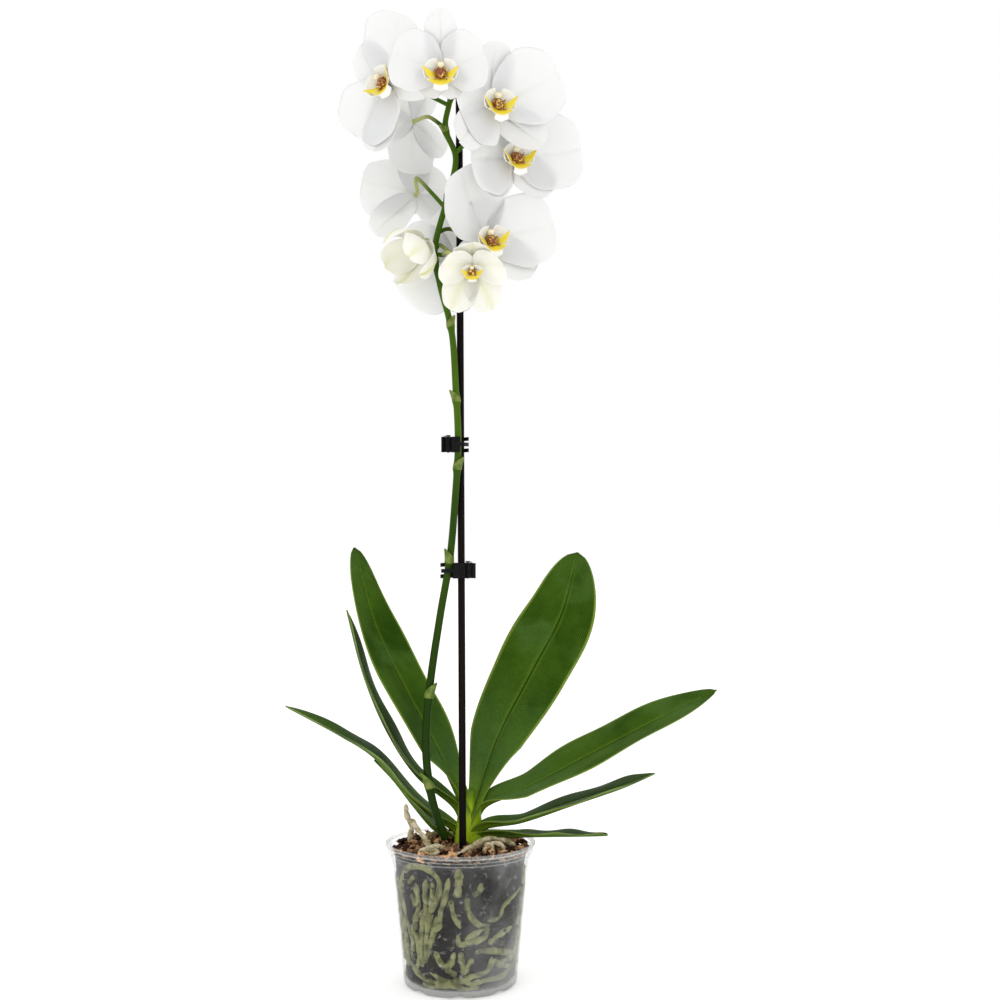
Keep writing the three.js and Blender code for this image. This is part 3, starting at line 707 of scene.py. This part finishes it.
def wander(rng, radius):
    """A root's way down the wall, somewhere round the back or sides."""
    last, turn, change = 2 * math.pi - FRONT_EDGE, WANDER["turn"], WANDER["change"]
    angle, z = rng.uniform(FRONT_EDGE, last), rng.uniform(*WANDER["from"])
    drift, points = rng.uniform(-0.12, 0.12), []
    while z > WANDER["to"] and len(points) < WANDER["points"]:
        points.append(on_wall(angle, z, radius))
        drift = max(-turn, min(turn, drift + rng.uniform(-change, change)))
        if not FRONT_EDGE < angle + drift < last:
            drift = -drift
        angle += drift
        z -= rng.uniform(*WANDER["drop"])
    return points


def root_radius(radius, rng):
    """radius(share) of a knobbly root with rounded ends."""
    phases = [rng.uniform(0, 6.3) for _ in range(3)]
    knobs = list(zip((0.14, 0.11, 0.06), (11, 27, 53), phases))

    def at(share):
        end = min(1, 12 * (share + 0.004), 12 * (1.004 - share)) ** 0.5
        return radius * max(0.15, end) * (1 + sum(a * math.sin(n * share + b) for a, n, b in knobs))

    return at


def wall_roots(look):
    """The roots seen through the front, then others down the sides and back, and some round the floor."""
    rng = random.Random(11)
    shape = Shape()
    for radius, route in FRONT_ROOTS:
        points = []
        for across, z in route:
            reach = wall_radius(z) - POT["wall"] - radius
            turn = math.asin(max(-0.98, min(0.98, across / reach)))
            points.append(on_wall(turn + rng.uniform(-0.02, 0.02), z + rng.uniform(-1.2, 1.2), radius))
        shape.tube(spline(points), root_radius(radius, rng), 8 * len(points), 12)
    for _ in range(34):
        radius = rng.uniform(1.7, 2.8)
        points = wander(rng, radius)
        if len(points) > 3:
            shape.tube(spline(points), root_radius(radius, rng), 7 * len(points), 12)
    for _ in range(14):
        angle, radius = rng.uniform(FRONT_EDGE, 2 * math.pi - FRONT_EDGE - 0.8), rng.uniform(1.8, 2.6)
        points = [on_wall(angle + 0.2 * i, 8.5 + 2.5 * math.sin(2 * i + angle), radius) for i in range(5)]
        shape.tube(spline(points), root_radius(radius, rng), 30, 12)
    make("roots_at_wall", shape, look, "root", [f"root_wall_{i}" for i in range(1, 6)])


def lifted(points):
    return spline([(x, y, z + ROOT_LIFT) for x, y, z in points])


def surface_roots(look):
    """The four roots that climb out of the bark, and smaller ones that loop over it."""
    rng = random.Random(5)
    for name, points in SURFACE_ROOTS.items():
        shape = Shape().tube(lifted(points), root_radius(2.1, rng), 46, 14)
        make(name + "_fine", shape, look, "root", [name])
    turns = (3.4, 2.6, 1.6, 0.6, -0.4, -1.4, -2.2)
    loops = [
        (1.7, [(-21 + 4.2 * math.cos(t), -34 + 3 * math.sin(t), 109 + 0.5 * t) for t in turns]),
        (1.5, [(20, -22, 108), (21, -24, 113), (25, -24, 112), (26, -26, 106)]),
        (2.0, [(18, -27, 107), (26, -21, 113), (33, -20, 111), (36, -24, 105)]),
        (1.6, [(-4, -36, 106), (4, -33, 110), (10, -27, 111), (14, -20, 110)]),
        (1.8, [(-30, 16, 104), (-24, 26, 110), (-10, 34, 109), (4, 38, 103)]),
        (1.9, [(16, 22, 104), (26, 24, 110), (36, 20, 108), (44, 14, 101)]),
    ]
    shape = Shape()
    for radius, points in loops:
        shape.tube(lifted(points), root_radius(radius, rng), 40, 12)
    make("roots_on_bark", shape, look, "root")


# ---------- crown, leaves, stem and stake ----------


def crown(look):
    """Overlapping leaf sheaths, each one half wrapped round the short stem and open on one side."""
    c = CROWN
    shape = Shape()
    core = spline([(c["x"], c["y"], z) for z in (c["bottom"], 105, 130, c["top"] - 4)])
    shape.tube(core, lambda s: 4.5 + 2.5 * math.sin(math.pi * min(1, s + 0.2)), 20, 20)
    tiers = ((118, 1.02), (124, 1.0), (130, 0.95), (137, 0.9), (145, 0.84), (154, 0.78))
    for i, (top, size) in enumerate(tiers):
        def surface(u, v, face, side=-1 if i % 2 else 1, top=top, size=size):
            turn = v * math.radians(118)
            z = c["bottom"] + u * (top - c["bottom"]) * (1 - 0.34 * (abs(v) ** 1.6))
            belly = size * (0.72 + 0.36 * math.sin(math.pi * min(1, 0.15 + 0.75 * u)))
            x = c["x"] + side * (c["half_width"] * belly + 0.5 * face) * math.cos(turn)
            y = c["y"] + (c["half_depth"] * belly + 0.5 * face) * math.sin(turn) * side
            return Vector((x, y, z))

        shape.sheet(surface, 18, 24)
    make("crown_sheaths", shape, look, "crown", ["crown"])


def ridge(value, width):
    """1 where the value is 0, falling away like a bell on both sides."""
    return math.exp(-((value / width) ** 2))


def leaf_outline(u, widest):
    """Half the width at a share of the length, where the widest place has 1."""
    neck = LEAF["neck"]
    if u < widest:
        return neck + (1 - neck) * math.sin(math.pi / 2 * u / widest) ** 1.3
    return max(0, 1 - ((u - widest) / (1 - widest)) ** 2.2) ** 0.58


def leaf(name, look):
    """A blade along its rib, with a clasping stalk that runs down into the crown."""
    width, widest, face, rib = LEAVES[name]
    start = rib[0]
    inset = 3.5 if start[0] > CROWN["x"] else -3.5
    foot = (CROWN["x"] + inset, CROWN["y"], start[2] - LEAF["stalk"])
    at, looks = spline([foot, *rib]), Vector(face)
    runs, phase = len(rib), sum(map(ord, name)) % 7

    def surface(share, v, side):
        u = max(0, (share * runs - 1) / (runs - 1))
        stalk, clasp = max(0, 1 - share * runs), max(0, 1 - 4 * u)
        along = heading(at, share)
        up = (looks - along * looks.dot(along)).normalized()
        across = up.cross(along)
        reach = v * max(0.35, width / 2 * leaf_outline(u, widest)) * (1 - 0.25 * stalk)
        fold = (LEAF["fold"] + 0.5 * clasp) * abs(reach) * (1 - 0.25 * abs(v))
        ripple = math.sin(5.5 * math.pi * u + phase + (1 if v > 0 else 2.4))
        wave = LEAF["wave"] * v * v * ripple * min(1, 6 * u)
        groove = LEAF["groove"] * ridge(v, 0.07) * (1 - u) ** 0.4
        keel = LEAF["keel"] * ridge(v, 0.09) * (1 - u) if side < 0 else 0
        thick = LEAF["thickness"] * (0.25 + 0.75 * (1 - abs(v) ** 3)) * (1.25 - 0.7 * u)
        rise = fold + wave - groove + side * thick / 2 - keel
        return at(share) + across * reach * (1 - 0.3 * clasp) + up * rise

    make(name + "_blade", Shape().sheet(surface, 72, 32), look, "leaf", [name])


def flower_turn(f):
    """Turns a flower from its own frame, where it faces up, to the way it faces on the spike."""
    about_x = Quaternion((1, 0, 0), math.radians(90 + f["nod"]))
    return Quaternion(Z_AXIS, math.radians(f["yaw"])) @ about_x @ Quaternion(Z_AXIS, math.radians(f["roll"]))


def layer_depth(layer, cup):
    return layer * (1 + CUP_SPREAD * cup)


def stem(look, bracts):
    """The spike with a swelling at each joint, the flowers' stalks, and a bract round each joint."""
    at, steps = spline(STEM), 1000
    shares, even = even_shares(at, steps), np.linspace(0, 1, steps + 1)

    def radius(share):
        run = float(np.interp(share, shares, even))
        swell = sum(0.9 * ridge(run - joint, 0.006) for joint in STEM_JOINTS)
        return STEM_RADIUS[0] + (STEM_RADIUS[1] - STEM_RADIUS[0]) * run + swell

    shape = Shape().tube(at, radius, 320, 20, low=lambda s: max(0, 1 - 1.6 * s))
    for f in FLOWERS.values():
        back = layer_depth(SEPALS["layer"], f["cup"]) - TEPAL_THICKNESS / 2
        turn = flower_turn(f)
        ends = [turn @ Vector((0, 0, depth)) + f["at"] for depth in (back - PEDICEL_RUN, back + 0.2)]
        shape.tube(spline([*f["stalk"], *ends]),
                   lambda s: PEDICEL_RADIUS * (1.25 - 0.25 * s + 5 * max(0, s - 0.9)), 40, 14,
                   pale=lambda s: min(0.85, max(0, 2.2 * s - 0.5)))
    make("stem_fine", shape, look, "stem", ["flower_spike"])

    wraps = Shape()
    for i, joint in enumerate(STEM_JOINTS):
        share = float(np.interp(joint, even, shares))
        centre, along = at(share), heading(at, share)
        out = Vector((1 if i % 2 else -1, -0.6, 0))
        out = (out - along * out.dot(along)).normalized()
        side = along.cross(out)
        reach, tall = radius(share) + 0.35, 15 - 9 * joint

        def surface(u, v, face, c=centre, a=along, o=out, s=side, r=reach, h=tall):
            turn = v * math.radians(150) * (1 - u) ** 0.8
            flare = r + 1.6 * u * u + 0.25 * face - 0.6 * (1 - u)
            return c + a * (h * u - 1.5) + flare * (math.cos(turn) * o + math.sin(turn) * s)

        wraps.sheet(surface, 12, 16)
    make("bracts", wraps, bracts, "stem")


def stake(look):
    foot, tip = Vector(STAKE["foot"]), Vector(STAKE["tip"])

    def radius(share):
        return STAKE["radius"] * min(1, 0.3 + 60 * share, 0.75 + 100 * (1 - share))

    shape = Shape().tube(lambda s: foot.lerp(tip, s), radius, 240, 24)
    make("stake_rod", shape, look, "stake", ["stake"])


# ---------- flowers ----------


def cupped(x, y, layer, cup):
    """A point of a flat sheet, once the sheet is bent into a bowl of radius 1 / cup."""
    distance = math.hypot(x, y)
    inside = 1 / cup - layer
    spread = inside * math.sin(cup * distance) / distance if distance else 0
    return Vector((x * spread, y * spread, 1 / cup - inside * math.cos(cup * distance)))


def tepal(shape, f, angle, share, kind, seed):
    """One petal or sepal, with a groove along its midrib and a soft wave at its edge."""
    rng = random.Random(seed)
    broad, bud = kind is PETALS, f["state"] == "bud"
    length = share * f["reach"] * (BUD_STRETCH if bud else 1)
    width = f["reach"] * kind["width"]
    c, s = math.cos(math.radians(angle)), math.sin(math.radians(angle))
    size = f["reach"] / FULL_REACH
    waves = [(rng.uniform(2.2, 3.4), rng.uniform(0, 6.3)) for _ in range(2)]
    base = layer_depth(kind["layer"], f["cup"])

    def surface(u, v, side):
        turn, phase = waves[0 if v < 0 else 1]
        along = length * (1 - math.cos(math.pi * u)) / 2
        rounding = max(0.02, math.sin(math.pi * u)) ** (0.62 if broad else 0.7)
        claw = 1 - 0.75 * (1 - u) ** 4
        wobble = 1 + 0.025 * math.sin(2.3 * turn * math.pi * u + phase)
        across = v * max(0.8, width / 2 * rounding * claw * wobble)
        edge = max(abs(v) ** 3, u**6)
        frill = (2.2 if bud else 1.2) * size * edge * math.sin(turn * math.pi * u + phase)
        groove = -1.2 * size * ridge(v, 0.06) * math.sin(math.pi * min(1, u + 0.1))
        bowl = 0 if bud else (1.6 if broad else 1.0) * size * abs(v) ** 1.6 * math.sin(math.pi * u)
        thick = TEPAL_THICKNESS * (0.35 + 0.65 * (1 - edge))
        depth = base + frill + groove + bowl + side * thick / 2
        return cupped(along * c - across * s, along * s + across * c, depth, f["cup"])

    green = (0.12 if f["state"] == "open" else 0.6) * (0.3 if broad else 1)
    tip = 0.9 if bud else 0
    shape.sheet(surface, 36, 30, green=lambda u, v, side: green * (1 if side < 0 else 0.6) + tip * u**4)


def placed(shape, f):
    turn = flower_turn(f)
    shape.points = [tuple(turn @ Vector(p) + f["at"]) for p in shape.points]
    return shape


def bloom(name, tissue, lip):
    """A flower's sepals and petals, and its lip and column if it has opened."""
    f = FLOWERS[name]
    seed, slot = sum(map(ord, name)), "bud" if f["state"] == "bud" else "petal"
    upper, lower, right, left = f["lengths"]
    kind = HALF_OPEN_SEPALS if f["state"] == "half open" else SEPALS
    sepals, petals = Shape(), Shape()
    for i, (angle, share) in enumerate(zip(kind["angles"], (upper, lower, lower))):
        tepal(sepals, f, angle, share, kind, seed + i)
    for i, (angle, share) in enumerate(zip(f["petals"], (right, left))):
        tepal(petals, f, angle, share, PETALS, seed + 7 + i)
    make(name + "_sepals_fine", placed(sepals, f), tissue, slot, [name + "_sepals"])
    make(name + "_petals_fine", placed(petals, f), tissue, slot, [name + "_petals"])
    if f["state"] != "bud":
        make(name + "_lip", placed(lip_shape(f), f), lip, "lip", [name + "_lip_and_column"])
        make(name + "_column", placed(column_shape(f), f), lip, "lip", [name + "_lip_and_column"])


def scaled(points, size):
    return spline([Vector(p) * size for p in points])


def column_shape(f):
    """The column: a short waxy rod that stands over the throat, with a cap and a brown beak."""
    size = f["lip"]
    way = scaled([(0, -1.2, 1.4), (0, 1.4, 5), (0, 4.6, 8.4), (0, 7.4, 9.6)], size)

    def radius(share):
        end = math.sqrt(max(0.03, min(1, (1 - share) * 5)))
        return size * (2.0 - 0.3 * math.sin(math.pi * share) + 0.9 * ridge(share - 0.72, 0.2)) * end

    return Shape().tube(way, radius, 34, 18, yellow=lambda s: 0.3 + 0.3 * max(0, s - 0.7),
                        speck=lambda s: 0.8 * ridge(s - 1, 0.05) + 0.5 * max(0, 0.3 - s))


def lip_shape(f):
    """The lip: a freckled throat, two pale side lobes round it, yellow wings and an arrow-shaped tongue."""
    size = f["lip"]
    shape = Shape()

    def lobe(side):
        def surface(u, v, face):
            turn = math.radians(30 + 46 * v)
            out = 2.5 + 11.2 * u * (1 - 0.16 * v * v) - 0.3 * face
            depth = 3.2 + 8.5 * u**1.7 + 0.3 * face
            return Vector((side * out * math.cos(turn), -2.5 + out * math.sin(turn), depth)) * size

        shape.sheet(surface, 16, 18, yellow=lambda u, v, s: 0.55 * max(0, 1 - u / 0.45),
                    speck=lambda u, v, s: max(0, 1 - u / 0.4))

    def wing(side):
        way = spline([(side * 3.4, -3.6, 7), (side * 8.6, -2.4, 11), (side * 14, 3.2, 13.5)])

        def surface(u, v, face):
            half = 3.3 * math.sin(math.pi * (0.12 + 0.84 * u)) ** 0.8
            return (way(u) + Vector((0.2 * side * v, half * v, -0.35 * half * v + 0.35 * face))) * size

        shape.sheet(surface, 18, 10, yellow=lambda u, v, s: min(1, 5 * (1 - abs(v))),
                    speck=lambda u, v, s: max(0, 1 - u / 0.3))

    def tongue(u, v, face):
        rib = keel(u)
        half = 2.2 + 8.6 * ridge(u - 0.36, 0.2) + 3.6 * ridge(u - 0.8, 0.2)
        half *= math.sqrt(max(0.03, min(1, (1 - u) * 6)))
        lift = 2.4 * v * v * ridge(u - 0.36, 0.3)
        return Vector((half * v, rib.y + lift, rib.z + 0.9 * lift + 0.35 * face)) * size

    for side in (-1, 1):
        lobe(side)
        wing(side)
    keel = spline([(0, -4.6, 6), (0, -8.6, 10.5), (0, -12, 12), (0, -15.5, 10)])
    shape.sheet(tongue, 30, 20, yellow=lambda u, v, s: max(0, min(1, 4.4 - 7 * u)) * min(1, 5 * (1 - abs(v))),
                speck=lambda u, v, s: max(0, 1 - u / 0.25))
    callus = scaled([(0, 1.4, 3), (0, -0.6, 6.6), (0, -3.2, 8.6), (0, -5.6, 9.2)], size)
    shape.tube(callus, lambda s: size * 4.1 * math.sin(math.pi * (0.12 + 0.76 * s)) ** 0.5, 22, 18,
               yellow=lambda s: 0.9, speck=lambda s: 1.0)
    teeth = [
        [(1.6, -3.4, 8.6), (2.6, -2.6, 11.4), (2.2, -0.8, 13)],
        [(3, -0.6, 7), (4.4, 0.4, 10), (4.8, 1.8, 11.4)],
        [(2.8, -4.8, 8), (4.2, -5.8, 10.6), (4.6, -7.2, 11.6)],
    ]
    for side in (-1, 1):
        for tooth in teeth:
            way = scaled([(side * x, y, z) for x, y, z in tooth], size)
            shape.tube(way, lambda s: size * 1.1 * (1.1 - s), 12, 10,
                       yellow=lambda s: 0.7, speck=lambda s: 0.9)
    return shape


# ---------- clips ----------


def clips(plastic, steel):
    """The clips' own parts already have their shape: they get soft edges and their finish."""
    for name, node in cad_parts.items():
        if not name.startswith("clip_"):
            continue
        node.data.materials.clear()
        node.data.materials.append(steel if name.endswith(("pin", "spring")) else plastic)
        edges = node.modifiers.new("soft_edges", "BEVEL")
        edges.width = 0.18 * MM
        edges.segments = 2
        edges.limit_method = "ANGLE"


# ---------- stage ----------


def pale_floor(reach=6.0):
    corners = [(-reach, -reach, 0), (reach, -reach, 0), (reach, reach, 0), (-reach, reach, 0)]
    mesh = bpy.data.meshes.new("floor")
    mesh.from_pydata(corners, [], [(0, 1, 2, 3)])
    paint = {"Base Color": (0.93, 0.93, 0.93, 1), "Roughness": 0.8, "Specular IOR Level": 0.0,
             "Emission Color": (1, 1, 1, 1), "Emission Strength": 0.28}
    pale = bpy.data.materials.new("pale_floor")
    pale.use_nodes = True
    for socket, setting in paint.items():
        pale.node_tree.nodes["Principled BSDF"].inputs[socket].default_value = setting
    mesh.materials.append(pale)
    added("floor", mesh)


def area_light(name, place, size, watts, aim=(0, 0, 0.42)):
    lamp = bpy.data.lights.new(name, "AREA")
    lamp.energy, lamp.size = watts, size
    holder = added(name, lamp)
    holder.location = place
    holder.rotation_mode = "QUATERNION"
    holder.rotation_quaternion = (Vector(aim) - Vector(place)).to_track_quat("-Z", "Y")


def stage():
    """A pale floor under a white sky, with three large soft lights."""
    pale_floor()
    world = bpy.data.worlds.new("studio")
    world.use_nodes = True
    sky = world.node_tree.nodes["Background"]
    sky.inputs["Color"].default_value = (1, 1, 1, 1)
    sky.inputs["Strength"].default_value = 1.0
    bpy.context.scene.world = world
    bpy.context.scene.view_settings.view_transform = "Standard"
    area_light("key", (-0.9, -1.2, 1.5), 0.9, 1.7)
    area_light("fill", (1.3, -0.9, 0.8), 1.2, 1.0)
    area_light("back", (0.4, 1.2, 1.3), 1.0, 1.5)


def camera():
    """Level with the leaves, a metre and a quarter in front of the pot, on a 55 mm lens."""
    lens = bpy.data.cameras.new("camera")
    lens.sensor_width, lens.lens = 36, 55.125
    eye = added("camera", lens)
    eye.location = (0.0316, -1.225, 0.385)
    eye.rotation_euler = (math.pi / 2, 0, 0)
    bpy.context.scene.camera = eye


def build():
    white = petal_look("petal", (0.8, 0.8, 0.795), (0.7, 0.7, 0.675), (0.74, 0.8, 0.5))
    cream = petal_look("bud", (0.93, 0.92, 0.83), (0.7, 0.67, 0.34), (0.7, 0.7, 0.28), 0.6)
    lip, green = lip_look(), leaf_look()
    damp_root = root_look("root_behind_wall", (0.25, 0.26, 0.11), (0.1, 0.105, 0.04), (0.1, 0.09, 0.04), 0.6)
    dry_root = root_look("root", (0.62, 0.54, 0.38), (0.27, 0.25, 0.11), (0.24, 0.11, 0.05))
    pot()
    bark()
    wall_roots(damp_root)
    surface_roots(dry_root)
    crown(crown_look())
    for name in LEAVES:
        leaf(name, green)
    stem(stem_look(), bract_look())
    stake(stake_look())
    for name, f in FLOWERS.items():
        bloom(name, white if f["state"] == "open" else cream, lip)
    clips(clip_look(), wire_look())
    stage()
    camera()


build()
